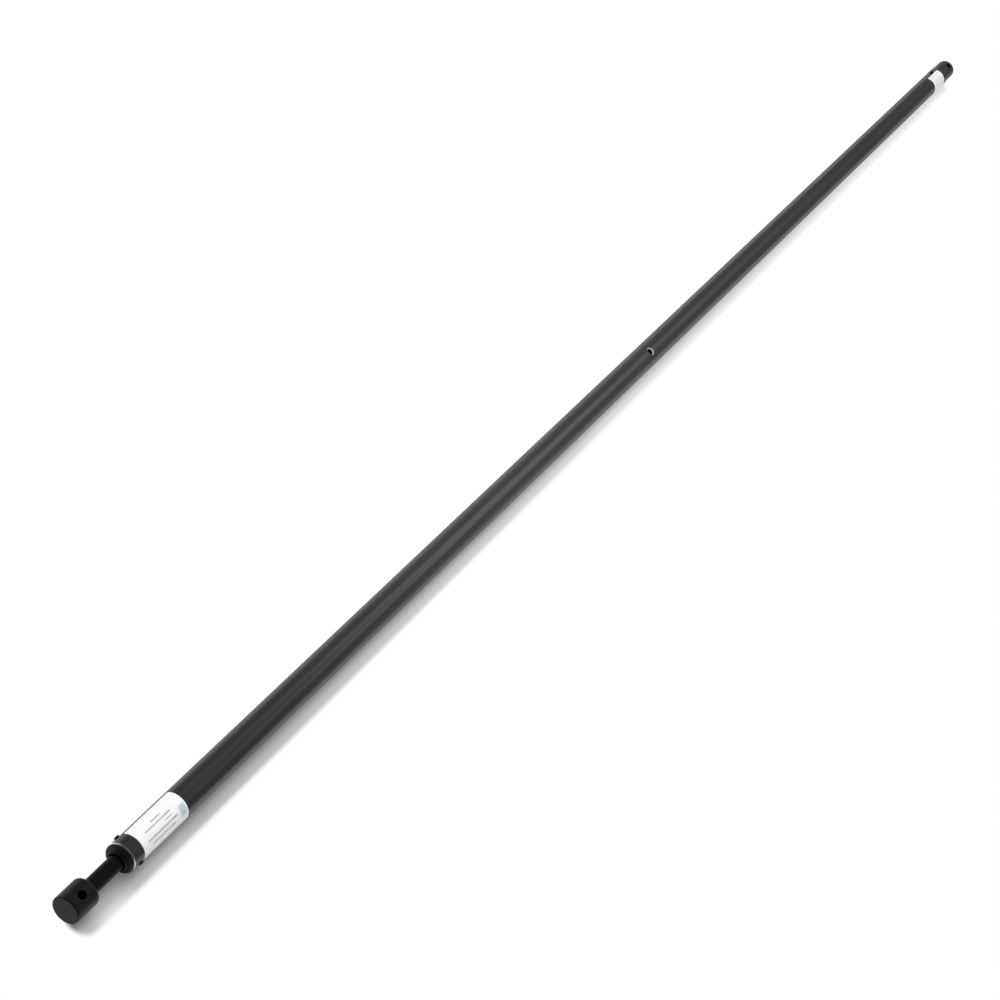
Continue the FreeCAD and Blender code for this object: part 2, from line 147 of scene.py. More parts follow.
class ScrewSettings(bpy.types.PropertyGroup):
    """Sizes and finish of the screws."""
    hole: length("Hole", "Holes for the self-tapping screws", 3.6 * MM)
    near_setback: length("Near setback", "Screws from the tube's adjustable end", 11 * MM)
    far_setback: length("Far setback", "Screws from the tube's fixed end", 28 * MM)
    far_turn: FloatProperty(
        name="Far turn", description="Fixed end's screws, turned from the horizontal",
        default=math.radians(40), subtype="ANGLE")
    shank: length("Shank", "Crest of the screw thread", 3.5 * MM)
    head: length("Head", "Pan head where it seats", 5.5 * MM)
    head_height: length("Head height", "Pan head", 1.8 * MM)
    recess: length("Recess", "Cross recess from tip to tip", 3 * MM)
    black_oxide: colour("Black oxide", "Blackened screws", (0.035, 0.033, 0.033))
    stainless: colour("Stainless", "Stop screw and washer", (0.62, 0.62, 0.60))


class LabelSettings(bpy.types.PropertyGroup):
    """Sizes and colours of the wrapped labels."""
    gap: length("Gap", "Adhesive under the labels", 0.02 * MM)
    thickness: length("Thickness", "Labels", 0.15 * MM)
    corner: length("Corner", "Rounded corners", 1.5 * MM)
    near_wrap: FloatProperty(
        name="Near wrap", description="Near label round the tube",
        default=math.radians(180), subtype="ANGLE")
    near_turn: FloatProperty(
        name="Near turn", description="Middle of the near label from the top",
        default=math.radians(25), subtype="ANGLE")
    far_wrap: FloatProperty(
        name="Far wrap", description="Far label round the tube",
        default=math.radians(142), subtype="ANGLE")
    far_turn: FloatProperty(
        name="Far turn", description="Middle of the far label from the top",
        default=math.radians(37), subtype="ANGLE")
    vinyl: colour("Vinyl", "White label", (0.91, 0.92, 0.92))
    ink: colour("Ink", "Printed strokes", (0.34, 0.34, 0.35))
    # The tint is a pale grey-blue field laid on the near label's vinyl, on its right flank towards
    # its far end.
    tint: colour("Tint", "Printed field beside the strokes", (0.55, 0.63, 0.66))


class StageSettings(bpy.types.PropertyGroup):
    """Camera, floor and light."""
    camera_place: FloatVectorProperty(
        name="Camera place", description="Where the camera stands",
        default=(-2.126727, 0.0, 1.568531), subtype="TRANSLATION", unit="LENGTH")
    camera_turn: FloatVectorProperty(
        name="Camera turn", description="How the camera is turned",
        default=(math.radians(37.8549), math.radians(-32.7508), math.radians(-55.2804)),
        subtype="EULER")
    lens: FloatProperty(
        name="Lens", description="Focal length on a 36 mm sensor", default=79.967,
        unit="CAMERA")
    floor: colour("Floor", "Pale floor", (0.93, 0.93, 0.93))
    floor_lift: FloatProperty(
        name="Floor lift", description="Added to the floor as seen, not to its light",
        default=0.05, min=0)
    # These set the line round the bar beyond which the floor as seen is painted plain white, over
    # the cast shadow too.
    shadow_shift: length("Shadow shift", "Middle of the shadow, to the right of the bar", 12.5 * MM)
    shadow_near: length("Shadow near", "From that middle, where it starts to fade", 14.5 * MM)
    shadow_far: length("Shadow far", "From that middle, where the shadow ends", 21.5 * MM)
    shadow_trim: length("Shadow trim", "Middle of the shadow, short of the bar's ends", 20 * MM)
    shadow_narrows: length(
        "Shadow narrows", "Taken from near and far in each metre along the bar", 3 * MM)
    # Painted shade in the floor's colour, right under the adjustable end.
    painted_contact_shade: FloatProperty(
        name="Contact", description="Darkening of the floor right under the adjustable end",
        default=0.68, min=0, max=1)
    # Painted white over the cast shadow towards the fixed end: the share of the shadow left there.
    shadow_left_under_painted_white: FloatProperty(
        name="Thinned", description="Share of the shadow that is left at the fixed end",
        default=0.5, min=0, max=1)
    key_power: FloatProperty(
        name="Key", description="Soft light from the left", default=36, min=0, unit="POWER")
    top_power: FloatProperty(
        name="Top", description="Soft light from above", default=24, min=0, unit="POWER")
    fill_power: FloatProperty(
        name="Fill", description="Weak soft light from the right", default=18, min=0, unit="POWER")
    surroundings: FloatProperty(
        name="Surroundings", description="Even light from all sides", default=0.34, min=0)


# Meshes

def rounded(corners, steps=8):
    """Outline from corners (along, radius, round), where each round becomes an arc."""
    points = []
    count = len(corners)
    for i, (along, radius, size) in enumerate(corners):
        here = Vector((along, radius))
        if not size:
            points.append(here)
            continue
        before = (Vector(corners[i - 1][:2]) - here).normalized()
        after = (Vector(corners[(i + 1) % count][:2]) - here).normalized()
        half = before.angle(after) / 2
        centre = here + (before + after).normalized() * size / math.sin(half)
        first = here + before * size / math.tan(half) - centre
        last = here + after * size / math.tan(half) - centre
        start = math.atan2(first.y, first.x)
        sweep = math.atan2(last.y, last.x) - start
        sweep -= 2 * math.pi * round(sweep / (2 * math.pi))
        for k in range(steps + 1):
            angle = start + sweep * k / steps
            points.append(centre + Vector((math.cos(angle), math.sin(angle))) * size)
    return points


def between(start, end, spacing):
    """Even steps from start to end, both of them left out."""
    count = max(2, round(abs(end - start) / spacing))
    return [start + (end - start) * k / count for k in range(1, count)]


def turned(name, outline, closed, finishes, segments, lift=None):
    """Object whose mesh is an outline of (along, radius) revolved about X.

    A point on the axis is a pole. lift(along, radius, angle) may add to the radius of a point.
    """
    shape = bmesh.new()
    rings = []
    for along, radius in outline:
        if radius < SAME_PLACE:
            rings.append([shape.verts.new((along, 0, 0))])
            continue
        ring = []
        for k in range(segments):
            angle = 2 * math.pi * k / segments
            out = radius + (lift(along, radius, angle) if lift else 0)
            ring.append(shape.verts.new((along, out * math.cos(angle), out * math.sin(angle))))
        rings.append(ring)
    followers = rings[1:] + (rings[:1] if closed else [])
    for ring, other in zip(rings, followers):
        for k in range(segments):
            after = (k + 1) % segments
            if len(ring) == 1:
                shape.faces.new((ring[0], other[k], other[after]))
            elif len(other) == 1:
                shape.faces.new((ring[k], other[0], ring[after]))
            else:
                shape.faces.new((ring[k], other[k], other[after], ring[after]))
    bmesh.ops.recalc_face_normals(shape, faces=shape.faces)
    return finished(name, shape, finishes)


def finished(name, shape, finishes=()):
    """Object made of a bmesh, with its materials."""
    mesh = bpy.data.meshes.new(name)
    shape.to_mesh(mesh)
    shape.free()
    for finish in finishes:
        mesh.materials.append(finish)
    piece = bpy.data.objects.new(name, mesh)
    bpy.context.scene.collection.objects.link(piece)
    return piece


def hole_cutter(along, diameter, bevel=0, surface=0, turn=0, finish=1):
    """Cutter right through the bar, upright before its turn about X.

    A bevel follows the round surface that the hole opens on, at both ends. The cut faces get
    the piece's finish of that number.
    """
    radius = diameter / 2
    reach = 2 * TUBE_RADIUS
    levels = [(radius, lambda angle: reach)]
    if bevel:
        def height(out):
            return lambda angle: math.sqrt(surface ** 2 - (out * math.sin(angle)) ** 2)

        inner, outer = height(radius), height(radius + bevel)
        levels = [
            (radius, lambda angle: inner(angle) - bevel),
            (radius + 2 * bevel, lambda angle: 2 * outer(angle) - inner(angle) + bevel),
            (radius + 2 * bevel, lambda angle: reach),
        ]
    shape = bmesh.new()
    segments = 72
    rings = []
    for sign, order in ((-1, reversed(levels)), (1, levels)):
        for out, height_at in order:
            ring = []
            for k in range(segments):
                angle = 2 * math.pi * k / segments
                ring.append(shape.verts.new((
                    along + out * math.cos(angle), out * math.sin(angle),
                    sign * height_at(angle))))
            rings.append(ring)
    for ring, other in zip(rings, rings[1:]):
        for k in range(segments):
            after = (k + 1) % segments
            shape.faces.new((ring[k], other[k], other[after], ring[after]))
    shape.faces.new(rings[0])
    shape.faces.new(rings[-1])
    bmesh.ops.recalc_face_normals(shape, faces=shape.faces)
    bmesh.ops.rotate(shape, verts=shape.verts, matrix=Matrix.Rotation(turn, 3, "X"))
    for face in shape.faces:
        face.material_index = finish
    return finished("cutter", shape)


def cut(piece, cutters):
    """Take the cutters out of the piece and delete them."""
    for cutter in cutters:
        change = piece.modifiers.new("cut", "BOOLEAN")
        change.operation = "DIFFERENCE"
        change.solver = "EXACT"
        change.material_mode = "INDEX"
        change.object = cutter
    graph = bpy.context.evaluated_depsgraph_get()
    mesh = bpy.data.meshes.new_from_object(piece.evaluated_get(graph))
    piece.modifiers.clear()
    old = piece.data
    piece.data = mesh
    mesh.name = old.name + "_cut"
    bpy.data.meshes.remove(old)
    for cutter in cutters:
        bpy.data.objects.remove(cutter)


def shade(piece):
    """Shade smooth up to sharp edges, and true on cylinders about X and on end faces.

    Rounds then run into the cylinders and end faces beside them without a crease.
    """
    mesh = piece.data
    mesh.shade_smooth()
    mesh.set_sharp_from_angle(angle=SHARP_ANGLE)
    points = [vertex.co for vertex in mesh.vertices]
    radii = [math.hypot(point.y, point.z) for point in points]
    true = {}
    for polygon in mesh.polygons:
        along = [points[v].x for v in polygon.vertices]
        out = [radii[v] for v in polygon.vertices]
        flat = max(along) - min(along) < SAME_PLACE
        turned_about_x = max(out) - min(out) < SAME_PLACE and min(out) > SAME_PLACE
        for v in polygon.vertices:
            if flat:
                direction = Vector((1, 0, 0))
            elif turned_about_x:
                direction = Vector((0, points[v].y, points[v].z)) / radii[v]
            else:
                continue
            if polygon.normal.dot(direction) < 0:
                direction.negate()
            if polygon.normal.angle(direction, math.pi) < FLAT_ANGLE:
                true.setdefault(v, []).append(direction)
    normals = []
    for polygon in mesh.polygons:
        for v in polygon.vertices:
            near = [d for d in true.get(v, ()) if polygon.normal.angle(d, math.pi) < ROUND_ANGLE]
            normals.append(near[0] if near else Vector((0, 0, 0)))
    mesh.normals_split_custom_set(normals)


def thread(start, end, pitch, depth, sign=1):
    """Radius that a right-hand thread adds, or takes with sign -1, between two places on X.

    It fades out over one pitch at both ends.
    """
    steepness = 0.85

    def lift(along, radius, angle):
        if not start <= along <= end:
            return 0
        fade = min(1, (along - start) / pitch, (end - along) / pitch)
        wave = math.sin(2 * math.pi * along / pitch - angle)
        crest = min(1, max(0, 0.5 + steepness * wave))
        return sign * depth * fade * crest
    return lift


# Finishes

def add(tree, kind, inputs=None, **settings):
    """Add a shader node. An input that is a socket is linked, and any other is set."""
    node = tree.nodes.new(kind)
    for name, value in settings.items():
        setattr(node, name, value)
    for name, value in (inputs or {}).items():
        if isinstance(value, bpy.types.NodeSocket):
            tree.links.new(value, node.inputs[name])
        else:
            node.inputs[name].default_value = value
    return node


def maths(tree, operation, first, second=0.0, clamp=False):
    """Result of a Math node."""
    node = add(tree, "ShaderNodeMath", {0: first, 1: second}, operation=operation)
    node.use_clamp = clamp
    return node.outputs[0]


def mix(tree, factor, first, second):
    """Colour between two colours."""
    node = add(tree, "ShaderNodeMix", {"Factor": factor}, data_type="RGBA")
    for name, value in (("A", first), ("B", second)):
        socket = [item for item in node.inputs if item.name == name and item.type == "RGBA"][0]
        if isinstance(value, bpy.types.NodeSocket):
            tree.links.new(value, socket)
        else:
            socket.default_value = (*value, 1)
    return [item for item in node.outputs if item.type == "RGBA"][0]


def ramp(tree, value, start, end, low, high, smooth=False):
    """A value between start and end turned into one between low and high, and held beyond."""
    node = add(tree, "ShaderNodeMapRange", {
        "Value": value, "From Min": start, "From Max": end, "To Min": low, "To Max": high})
    if smooth:
        node.interpolation_type = "SMOOTHSTEP"
    return node.outputs["Result"]


def spread(tree, value, low, high):
    """A 0 to 1 value spread over another range."""
    return ramp(tree, value, 0.0, 1.0, low, high)


def inside(tree, value, low, high, soft):
    """1 where a value lies from low to high, with soft edges."""
    rise = maths(tree, "DIVIDE", maths(tree, "SUBTRACT", value, low), soft, clamp=True)
    fall = maths(tree, "DIVIDE", maths(tree, "SUBTRACT", high, value), soft, clamp=True)
    return maths(tree, "MULTIPLY", rise, fall)


def new_finish(name):
    """Material with a bare Principled shader, and its tree."""
    finish = bpy.data.materials.new(name)
    finish.use_nodes = True
    return finish, finish.node_tree, finish.node_tree.nodes["Principled BSDF"]


def places(tree, scale=None):
    """Object coordinates in metres, stretched by a scale if one is given."""
    source = add(tree, "ShaderNodeTexCoord").outputs["Object"]
    if scale is None:
        return source
    return add(tree, "ShaderNodeMapping", {"Vector": source, "Scale": scale}).outputs["Vector"]


def axes(tree, vector):
    """The X, Y and Z of a vector."""
    return add(tree, "ShaderNodeSeparateXYZ", {0: vector}).outputs[:]


def noise(tree, vector, scale, detail=3.0, roughness=0.55):
    """Noise from 0 to 1, whose coarsest grains are about a metre over the scale wide."""
    node = add(tree, "ShaderNodeTexNoise", {
        "Vector": vector, "Scale": scale, "Detail": detail, "Roughness": roughness})
    return node.outputs["Fac"]


def feed(tree, shader, base, roughness, height, strength, distance):
    """Give a shader its colour, its roughness and a bump from a height."""
    bump = add(tree, "ShaderNodeBump", {
        "Height": height, "Strength": strength, "Distance": distance})
    for name, value in (
            ("Base Color", base), ("Roughness", roughness), ("Normal", bump.outputs["Normal"])):
        tree.links.new(value, shader.inputs[name])


def anodised_finish(settings):
    """Satin black anodising over fine draw lines, with faint rubs and dust.

    It is duller where it is seen at a slant.
    """
    finish, tree, shader = new_finish("satin_black_anodising")
    lines = noise(tree, places(tree, (0.02, 1, 1)), scale=2600, detail=2.0)
    grain = noise(tree, places(tree), scale=3200, detail=2.0)
    clouds = noise(tree, places(tree, (0.25, 1, 1)), scale=26, detail=4.0)
    rubs = noise(tree, places(tree, (0.08, 1, 1)), scale=170, detail=5.0, roughness=0.7)
    worn = maths(
        tree, "MULTIPLY", maths(tree, "SUBTRACT", rubs, 0.62, clamp=True), 2.2, clamp=True)
    base = Vector(settings.anodising)
    clouded = mix(tree, clouds, base * 0.86, base * 1.16)
    rough = maths(
        tree, "ADD", spread(tree, clouds, 0.19, 0.24), spread(tree, lines, -0.03, 0.03))
    slant = add(tree, "ShaderNodeLayerWeight", {"Blend": 0.5}).outputs["Facing"]
    dull = ramp(tree, slant, 0.6, 0.95, 0.0, 0.4)
    height = maths(
        tree, "ADD", maths(tree, "MULTIPLY", lines, 0.7), maths(tree, "MULTIPLY", grain, 0.3))
    feed(
        tree, shader, mix(tree, worn, clouded, base * 1.9), maths(tree, "ADD", rough, dull),
        height, strength=0.1, distance=0.02 * MM)
    shader.inputs["Specular IOR Level"].default_value = 0.28
    return finish


def bare_finish(settings):
    """Bright aluminium with fine rings from the saw and drill."""
    finish, tree, shader = new_finish("bare_cut_aluminium")
    rings = noise(tree, places(tree), scale=5200, detail=2.0)
    patches = noise(tree, places(tree), scale=500)
    base = Vector(settings.bare_metal)
    feed(
        tree, shader, mix(tree, patches, base * 0.86, base), spread(tree, rings, 0.38, 0.54),
        rings, strength=0.3, distance=0.02 * MM)
    shader.inputs["Metallic"].default_value = 1.0
    return finish


def dull_metal_finish(settings, name, low, high):
    """Dull aluminium, as drilled or as drawn, from low to high of the bare metal's colour."""
    finish, tree, shader = new_finish(name)
    rings = noise(tree, places(tree), scale=2400)
    base = Vector(settings.bare_metal)
    feed(
        tree, shader, mix(tree, rings, base * low, base * high), spread(tree, rings, 0.6, 0.8),
        rings, strength=0.3, distance=0.03 * MM)
    shader.inputs["Specular IOR Level"].default_value = 0.8
    return finish


def drilled_finish(settings):
    """Torn, dull walls of the holes drilled through the moulded ends, with painted shade: half the
    nylon's colour.
    """
    finish, tree, shader = new_finish("drilled_nylon_painted_shade")
    rings = noise(tree, places(tree), scale=1500)
    # Painted shade: the walls take half the nylon's colour, for the dark inside the holes.
    base = Vector(settings.nylon) * 0.5
    feed(
        tree, shader, mix(tree, rings, base * 0.7, base * 1.3), spread(tree, rings, 0.75, 0.95),
        rings, strength=0.3, distance=0.05 * MM)
    shader.inputs["Specular IOR Level"].default_value = 0.05
    return finish


def nylon_finish(settings, name, lightness, gloss):
    """Moulded black nylon: fine spark grain, and faint flow clouds in colour and gloss."""
    finish, tree, shader = new_finish(name)
    grain = noise(tree, places(tree), scale=2300)
    flow = noise(tree, places(tree, (0.5, 1, 1)), scale=90, detail=4.0)
    base = Vector(settings.nylon) * lightness
    feed(
        tree, shader, mix(tree, flow, base * 0.8, base * 1.3), spread(tree, flow, 0.38, 0.50),
        grain, strength=0.35, distance=0.04 * MM)
    shader.inputs["Specular IOR Level"].default_value = gloss
    return finish


def steel_finish(name, tone, rough_low, rough_high):
    """Screw steel with fine turning marks."""
    finish, tree, shader = new_finish(name)
    marks = noise(tree, places(tree), scale=3600)
    stains = noise(tree, places(tree), scale=420)
    base = Vector(tone)
    feed(
        tree, shader, mix(tree, stains, base * 0.75, base * 1.2),
        spread(tree, marks, rough_low, rough_high), marks, strength=0.3, distance=0.02 * MM)
    shader.inputs["Metallic"].default_value = 1.0
    return finish


def label_finish(settings, name, start, strokes, field=None):
    """White vinyl with rows of short strokes, no lettering, and perhaps one tinted field.

    start is the label's end on X. A row of strokes is (from, to, middle, height) and the field
    is (from, to, low, high), in millimetres. The first two lie along the label, and the others
    round it.
    """
    finish, tree, shader = new_finish(name)
    x, y, z = axes(tree, places(tree))
    along = maths(tree, "SUBTRACT", x, start)
    turn = maths(tree, "ARCTAN2", maths(tree, "MULTIPLY", y, -1.0), z)
    across = maths(tree, "MULTIPLY", turn, TUBE_RADIUS)

    def block(from_x, to_x, low, high, soft):
        return maths(
            tree, "MULTIPLY", inside(tree, along, from_x, to_x, soft),
            inside(tree, across, low, high, soft))

    stroke_edge, field_edge = 0.35 * MM, 2.4 * MM
    inked = 0.0
    for number, row in enumerate(strokes):
        from_x, to_x, middle, height = (value * MM for value in row)
        area = block(from_x, to_x, middle - height / 2, middle + height / 2, stroke_edge)
        stroke_width = height * 0.55
        stroke = maths(tree, "FLOOR", maths(tree, "DIVIDE", along, stroke_width))
        row_seed = 37.0 * number
        chance = add(tree, "ShaderNodeTexWhiteNoise", {
            "W": maths(tree, "ADD", stroke, row_seed)}, noise_dimensions="1D")
        shown = maths(tree, "MULTIPLY", area, spread(tree, chance.outputs["Value"], 0.55, 1.0))
        inked = maths(tree, "MAXIMUM", shown, inked)
    clouds = noise(tree, places(tree), scale=150)
    vinyl = Vector(settings.vinyl)
    paper = mix(tree, clouds, vinyl * 0.97, vinyl)
    if field:
        tinted = block(*(value * MM for value in field), field_edge)
        paper = mix(tree, tinted, paper, Vector(settings.tint))
    ripple = noise(tree, places(tree), scale=700, detail=2.0)
    feed(
        tree, shader, mix(tree, inked, paper, Vector(settings.ink)),
        spread(tree, clouds, 0.30, 0.42), ripple, strength=0.15, distance=0.03 * MM)
    return finish


def dress(piece, body, nodes):
    """Let a piece ride on a body and stand for CAD nodes."""
    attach(piece, body)
    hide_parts(*nodes)


# Pieces

class CROSSBAR_OT_tube(bpy.types.Operator):
    """Drawn tube with bare bevelled ends, the bolt hole and the holes for four screws"""
    bl_idname = "crossbar.tube"
    bl_label = "Tube"

    def execute(self, context):
        settings = context.scene.crossbar_tube
        screws = context.scene.crossbar_screws
        start, end = TUBE_LOW.x, TUBE_HIGH.x
        bore = TUBE_RADIUS - settings.wall
        bevel = settings.end_bevel
        finishes = (
            anodised_finish(settings), bare_finish(settings),
            dull_metal_finish(settings, "drilled_aluminium", 0.72, 0.9),
            dull_metal_finish(settings, "mill_aluminium", 0.85, 1.0))
        bare, drilled, mill = 1, 2, 3

        # These rings keep the faces beside the holes short.
        rings = (start + 20 * MM, -12 * MM, 12 * MM, end - 40 * MM)
        outline = [
            (start, TUBE_RADIUS - bevel), (start + bevel, TUBE_RADIUS),
            *((x, TUBE_RADIUS) for x in rings),
            (end - bevel, TUBE_RADIUS), (end, TUBE_RADIUS - bevel),
            (end, bore), *((x, bore) for x in reversed(rings)), (start, bore),
        ]
        tube = turned("tube", outline, True, finishes, settings.segments)
        for polygon in tube.data.polygons:
            if not start + bevel <= polygon.center.x <= end - bevel:
                polygon.material_index = bare
            elif math.hypot(polygon.center.y, polygon.center.z) < bore:
                polygon.material_index = mill
        cut(tube, [
            hole_cutter(
                0, settings.bolt_hole, settings.bolt_hole_bevel, TUBE_RADIUS, finish=drilled),
            hole_cutter(start + screws.near_setback, screws.hole, turn=QUARTER_TURN),
            hole_cutter(
                end - screws.far_setback, screws.hole, turn=screws.far_turn - QUARTER_TURN),
        ])
        shade(tube)
        dress(tube, "bar", ["crossbar_tube"])
        return {"FINISHED"}


class CROSSBAR_OT_bush(bpy.types.Operator):
    """Moulded bush with its boss and flange outside the tube and its thread inside"""
    bl_idname = "crossbar.bush"
    bl_label = "Threaded bush"

    def execute(self, context):
        settings = context.scene.crossbar_ends
        screws = context.scene.crossbar_screws
        front, end = BUSH_LOW.x, BUSH_HIGH.x
        seat = TUBE_LOW.x
        flange = front + settings.boss_height
        rim = BUSH_HIGH.z
        running_clearance = 0.08 * MM
        mouth = settings.thread_diameter / 2 + running_clearance
        boss = settings.boss_diameter / 2
        thread_start, thread_end = seat + 2 * MM, end - 1 * MM
        outline = rounded([
            (front, mouth, 0.45 * MM),
            (front, boss, settings.boss_round),
            (flange, boss, settings.boss_round),
            (flange, rim, settings.flange_round),
            (seat, rim, 1.0 * MM),
            (seat, SPIGOT_RADIUS, 0),
            (end, SPIGOT_RADIUS, 0.6 * MM),
            (end, mouth, 0.4 * MM),
        ])
        outline += [Vector((x, mouth)) for x in between(thread_end, seat, THREAD_STEP)]
        lift = thread(
            thread_start, thread_end, settings.thread_pitch, settings.thread_depth, -1)

        def inward(along, radius, angle):
            return lift(along, radius, angle + math.pi) if radius < boss else 0

        finishes = (
            nylon_finish(settings, "moulded_bush_nylon", 1.1, 0.22), drilled_finish(settings))
        bush = turned("threaded_bush", outline, True, finishes, MOULDED_SEGMENTS, inward)
        cut(bush, [hole_cutter(seat + screws.near_setback, screws.hole, turn=QUARTER_TURN)])
        shade(bush)
        dress(bush, "bar", ["adjuster_bush"])
        return {"FINISHED"}


class CROSSBAR_OT_adjuster(bpy.types.Operator):
    """End fitting in one moulding: drilled head, neck and coarse thread, with painted shade on the
    neck
    """
    bl_idname = "crossbar.adjuster"
    bl_label = "Adjuster"

    def execute(self, context):
        settings = context.scene.crossbar_ends
        front, end = STEM_LOW.x, STEM_HIGH.x
        back = front + settings.head_length
        neck = settings.neck_diameter / 2
        crest = settings.thread_diameter / 2
        root = crest - settings.thread_depth
        thread_start, thread_end = TUBE_LOW.x + 14 * MM, end - 1 * MM
        screw_bore = 2.55 * MM
        bore_floor = end - 12.6 * MM
        outline = rounded([
            (front, 0, 0),
            (front, HEAD_RADIUS, settings.head_round),
            (back, HEAD_RADIUS, settings.head_shoulder),
            (back, neck, 1.0 * MM),
            (thread_start, neck, 0),
        ])
        outline += [Vector((x, root)) for x in between(thread_start, thread_end, THREAD_STEP)]
        outline += rounded([
            (thread_end, root, 0), (end, root - 0.4 * MM, 0), (end, screw_bore, 0),
            (bore_floor, screw_bore, 0), (bore_floor, 0, 0)])
        lift = thread(thread_start, thread_end, settings.thread_pitch, settings.thread_depth)

        def outward(along, radius, angle):
            return lift(along, radius, angle) if radius > (screw_bore + root) / 2 else 0

        # The neck and thread get a darker copy of the nylon: painted shade between the head and the
        # flange.
        finishes = (
            nylon_finish(settings, "moulded_end_nylon", 1.0, 0.2),
            bpy.data.materials["drilled_nylon_painted_shade"],
            nylon_finish(settings, "neck_nylon_painted_darker", 0.5, 0.1))
        painted_shade_neck = 2
        stem = turned("adjuster", outline, False, finishes, MOULDED_SEGMENTS, outward)
        for polygon in stem.data.polygons:
            radius = math.hypot(polygon.center.y, polygon.center.z)
            if polygon.center.x > back and radius < crest:
                polygon.material_index = painted_shade_neck
        cut(stem, [hole_cutter(
            front + settings.near_hole, settings.pin_hole, settings.pin_hole_bevel,
            HEAD_RADIUS)])
        shade(stem)
        dress(stem, "adjuster", ["adjuster_stem"])
        return {"FINISHED"}


class CROSSBAR_OT_plug(bpy.types.Operator):
    """Moulded plug with a drilled head that butts on the tube"""
    bl_idname = "crossbar.plug"
    bl_label = "Fixed end"

    def execute(self, context):
        settings = context.scene.crossbar_ends
        screws = context.scene.crossbar_screws
        start, tip = PLUG_LOW.x, PLUG_HIGH.x
        seat = TUBE_HIGH.x
        core = 7.5 * MM
        core_floor = start + 44 * MM
        outline = rounded([
            (core_floor, 0, 0),
            (core_floor, core, 0.8 * MM),
            (start, core, 0.4 * MM),
            (start, SPIGOT_RADIUS, 0.6 * MM),
            (seat, SPIGOT_RADIUS, 0),
            (seat, HEAD_RADIUS, 0.3 * MM),
            (tip, HEAD_RADIUS, 1.4 * MM),
            (tip, 0, 0),
        ])
        # Painted light: the plug is the same nylon as the adjuster, its colour made 1.4 times
        # lighter for the brighter light at the fixed end.
        finishes = (
            nylon_finish(settings, "plug_nylon_painted_lighter", 1.4, 0.38),
            bpy.data.materials["drilled_nylon_painted_shade"])
        plug = turned("fixed_end", outline, False, finishes, MOULDED_SEGMENTS)
        cut(plug, [
            hole_cutter(
                tip - settings.far_hole, settings.pin_hole, settings.pin_hole_bevel,
                HEAD_RADIUS),
            hole_cutter(
                seat - screws.far_setback, screws.hole, turn=screws.far_turn - QUARTER_TURN),
        ])
        shade(plug)
        dress(plug, "bar", ["fixed_end_plug"])
        return {"FINISHED"}


def cross_cutter(tip_to_tip, depth, top):
    """Tapered cross that sinks a recess into a head whose top faces +X."""
    shape = bmesh.new()
    arm, slot = tip_to_tip / 2, 0.45 * MM
    above = 0.2 * MM
    rings = []
    for along, reach, width in (
            (top + above, arm, slot * 1.15), (top - depth, arm * 0.45, slot * 0.6)):
        corners = []
        for quarter in range(4):
            angle = quarter * QUARTER_TURN
            for y, z in ((reach, -width), (reach, width), (width, width)):
                corners.append(shape.verts.new((
                    along, y * math.cos(angle) - z * math.sin(angle),
                    y * math.sin(angle) + z * math.cos(angle))))
        rings.append(corners)
    count = len(rings[0])
    for k in range(count):
        after = (k + 1) % count
        shape.faces.new((rings[0][k], rings[1][k], rings[1][after], rings[0][after]))
    shape.faces.new(rings[0])
    shape.faces.new(rings[1])
    bmesh.ops.recalc_face_normals(shape, faces=shape.faces)
    return finished("cutter", shape)


def pan_screw(name, finish, seat, tip, shank, head, height, recess, shoulder=None):
    """Screw along X with its head at high X: seat and tip are places on X.

    shank and head are radii, and a shoulder under the head is (radius, length).
    """
    root = shank * SCREW_ROOT
    blunt_tip = root * 0.6
    edge, dome = 0.15 * MM, height * 0.62
    end = seat - (shoulder[1] if shoulder else 0)
    outline = [Vector((tip, 0)), Vector((tip, blunt_tip))]
    outline += [
        Vector((x, root)) for x in between(tip, seat, SCREW_THREAD_STEP) if x < end]
    corners = [(end, root, 0)]
    if shoulder:
        corners += [(end, shoulder[0], edge), (seat, shoulder[0], 0)]
    corners += [
        (seat, head, edge),
        (seat + height * 0.97, head * 0.9, dome),
        (seat + height, 0, 0),
    ]
    outline += rounded(corners)
    screw_thread = thread(tip, end - 0.3 * MM, SCREW_PITCH, shank - root)

    def lift(along, radius, angle):
        return screw_thread(along, radius, angle) if abs(radius - root) < SAME_PLACE else 0

    screw = turned(name, outline, False, (finish,), SCREW_SEGMENTS, lift)
    cut(screw, [cross_cutter(recess, depth=height * 0.6, top=seat + height)])
    shade(screw)
    return screw


class CROSSBAR_OT_screws(bpy.types.Operator):
    """Four blackened pan-head screws through the tube into bush and plug"""
    bl_idname = "crossbar.screws"
    bl_label = "Screws"

    def execute(self, context):
        settings = context.scene.crossbar_screws
        finish = steel_finish("blackened_screw_steel", settings.black_oxide, 0.34, 0.5)
        near = TUBE_LOW.x + settings.near_setback
        far = TUBE_HIGH.x - settings.far_setback
        near_tip, far_tip = 9.38 * MM, 8.3 * MM
        half_turn = 2 * QUARTER_TURN
        for node, along, turn, tip in (
                ("adjuster_end_screw_left", near, 0, near_tip),
                ("adjuster_end_screw_right", near, half_turn, near_tip),
                ("fixed_end_screw_left", far, settings.far_turn, far_tip),
                ("fixed_end_screw_right", far, settings.far_turn + half_turn, far_tip)):
            screw = pan_screw(
                node.replace("screw", "pan_screw"), finish, TUBE_RADIUS, tip,
                settings.shank / 2, settings.head / 2, settings.head_height, settings.recess)
            outwards = Matrix.Rotation(QUARTER_TURN, 4, "Z")
            screw.data.transform(
                Matrix.Translation((along, 0, 0)) @ Matrix.Rotation(turn, 4, "X") @ outwards)
            dress(screw, "bar", [node])
        return {"FINISHED"}


